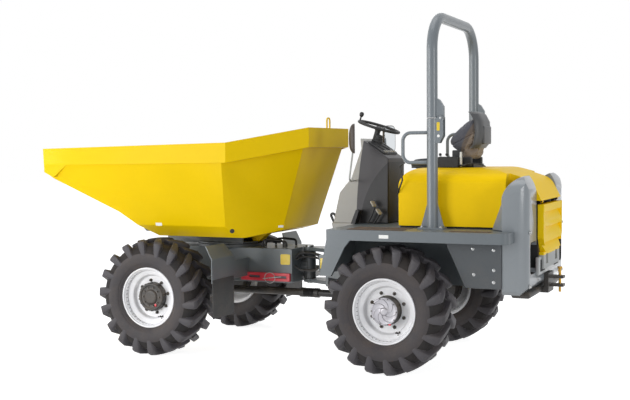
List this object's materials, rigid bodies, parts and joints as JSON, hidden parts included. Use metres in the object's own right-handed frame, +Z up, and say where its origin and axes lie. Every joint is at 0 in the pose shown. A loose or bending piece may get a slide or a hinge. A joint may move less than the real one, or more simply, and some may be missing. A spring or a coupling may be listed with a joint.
{
  "type": "site dumper",
  "caption": "Articulated site dumper with a swivel skip that tips forward, an open driver's place with a folding roll hoop, and an engine hood over the rear axle.",
  "frame": {"origin": "on the ground under the articulation pin, at the middle of the outer box", "axes": "+X forward, towards the skip's lip; +Y to the driver's left; +Z up"},
  "size_m": [4.819, 2.056, 3.0498],
  "materials": {
    "yellow_paint": "gloss",
    "grey_paint": "satin",
    "light_grey_paint": "satin",
    "black_paint": "satin",
    "red_paint": "satin",
    "silver_paint": "satin",
    "steel": "satin",
    "cast_iron": "matte",
    "tyre_rubber": "matte",
    "rubber": "matte",
    "charcoal_plastic": "matte",
    "lamp_red": "gloss",
    "seat_fabric": "matte"
  },
  "bodies": {
    "rear_chassis": {"rear_frame": "grey_paint", "deck": "grey_paint", "side_boxes": "grey_paint", "counterweight": "light_grey_paint", "tail_lamps": "lamp_red", "grille": "yellow_paint", "radiator": "black_paint", "engine": "cast_iron", "tow_hitch": "grey_paint", "hitch_pin": "steel", "rear_axle": "black_paint", "rear_driveshaft": "black_paint", "chassis_pins": "steel", "console": "charcoal_plastic", "steering_column": "charcoal_plastic", "pedals": "charcoal_plastic", "mirrors": "charcoal_plastic", "grab_rails": "light_grey_paint", "roll_posts": "grey_paint"},
    "hood_assembly": {"hood": "yellow_paint", "seat_base": "black_paint", "seat_cushion": "seat_fabric", "seat_back": "seat_fabric"},
    "roll_hoop": {"roll_hoop": "grey_paint"},
    "steering_wheel": {"steering_wheel": "charcoal_plastic"},
    "pivot_block": {"pivot_block": "cast_iron"},
    "steer_barrel": {"steer_barrel": "black_paint"},
    "steer_rod": {"steer_rod": "steel"},
    "front_chassis": {"front_frame": "grey_paint", "mudguards": "grey_paint", "mud_flaps": "rubber", "lock_bar": "red_paint", "turntable_ring": "black_paint", "front_axle": "black_paint", "front_driveshaft": "black_paint"},
    "swivel_frame": {"swivel_frame": "grey_paint", "tip_pins": "steel"},
    "skip": {"skip": "yellow_paint", "lifting_eye": "yellow_paint"},
    "tip_barrel": {"tip_barrel": "black_paint"},
    "tip_rod": {"tip_rod": "steel"},
    "wheel_front_left": {"tyre_front_left": "tyre_rubber", "rim_front_left": "silver_paint"},
    "wheel_front_right": {"tyre_front_right": "tyre_rubber", "rim_front_right": "silver_paint"},
    "wheel_rear_left": {"tyre_rear_left": "tyre_rubber", "rim_rear_left": "silver_paint"},
    "wheel_rear_right": {"tyre_rear_right": "tyre_rubber", "rim_rear_right": "silver_paint"}
  },
  "joints": [
    {"name": "articulation", "type": "hinge", "parent": "rear_chassis", "child": "pivot_block", "pos_m": [0, 0, 0.79], "axis": [0, 0, 1], "range_deg": [-32, 32]},
    {"name": "oscillation", "type": "hinge", "parent": "pivot_block", "child": "front_chassis", "pos_m": [0.07, 0, 0.79], "axis": [1, 0, 0], "range_deg": [-12, 12]},
    {"name": "skip_swivel", "type": "hinge", "parent": "front_chassis", "child": "swivel_frame", "pos_m": [0.85, 0, 0.984], "axis": [0, 0, 1], "range_deg": [-90, 90]},
    {"name": "skip_tip", "type": "hinge", "parent": "swivel_frame", "child": "skip", "pos_m": [1.752, 0, 1.2], "axis": [0, 1, 0], "range_deg": [0, 50]},
    {"name": "tip_ram_swing", "type": "hinge", "parent": "swivel_frame", "child": "tip_barrel", "pos_m": [1.4, 0, 1.038], "axis": [0, 1, 0], "range_deg": [-2, 63.3]},
    {"name": "tip_ram_stroke", "type": "slide", "parent": "tip_barrel", "child": "tip_rod", "axis": [-0.9998, 0, -0.019], "range_m": [-0.005, 0.2732]},
    {"name": "steer_ram_swing", "type": "hinge", "parent": "rear_chassis", "child": "steer_barrel", "pos_m": [-0.56, -0.375, 0.724], "axis": [0, 0, 1], "range_deg": [-8, 8]},
    {"name": "steer_ram_stroke", "type": "slide", "parent": "steer_barrel", "child": "steer_rod", "axis": [0.9996, 0.0282, 0], "range_m": [-0.2, 0.2]},
    {"name": "steering_wheel_turn", "type": "hinge", "parent": "rear_chassis", "child": "steering_wheel", "pos_m": [-0.715, 0, 2.089], "axis": [-0.304, 0, 0.9527], "continuous": true},
    {"name": "hood_open", "type": "hinge", "parent": "rear_chassis", "child": "hood_assembly", "pos_m": [-2.285, 0, 1.434], "axis": [0, 1, 0], "range_deg": [-45, 0]},
    {"name": "hoop_fold", "type": "hinge", "parent": "rear_chassis", "child": "roll_hoop", "pos_m": [-1.518, 0, 2.14], "axis": [0, -1, 0], "range_deg": [0, 100]},
    {"name": "wheel_front_left_spin", "type": "hinge", "parent": "front_chassis", "child": "wheel_front_left", "pos_m": [1.19, 0.828, 0.5375], "axis": [0, 1, 0], "continuous": true},
    {"name": "wheel_front_right_spin", "type": "hinge", "parent": "front_chassis", "child": "wheel_front_right", "pos_m": [1.19, -0.828, 0.5375], "axis": [0, 1, 0], "continuous": true},
    {"name": "wheel_rear_left_spin", "type": "hinge", "parent": "rear_chassis", "child": "wheel_rear_left", "pos_m": [-1.12, 0.828, 0.5375], "axis": [0, 1, 0], "continuous": true},
    {"name": "wheel_rear_right_spin", "type": "hinge", "parent": "rear_chassis", "child": "wheel_rear_right", "pos_m": [-1.12, -0.828, 0.5375], "axis": [0, 1, 0], "continuous": true}
  ],
  "couplings": [
    {"joint": "tip_ram_swing", "follows": "skip_tip", "ratio": 1.2255},
    {"joint": "tip_ram_stroke", "follows": "skip_tip", "m_per_rad": 0.30611},
    {"joint": "steer_ram_swing", "follows": "articulation", "ratio": 0.16529},
    {"joint": "steer_ram_stroke", "follows": "articulation", "m_per_rad": 0.34875}
  ]
}
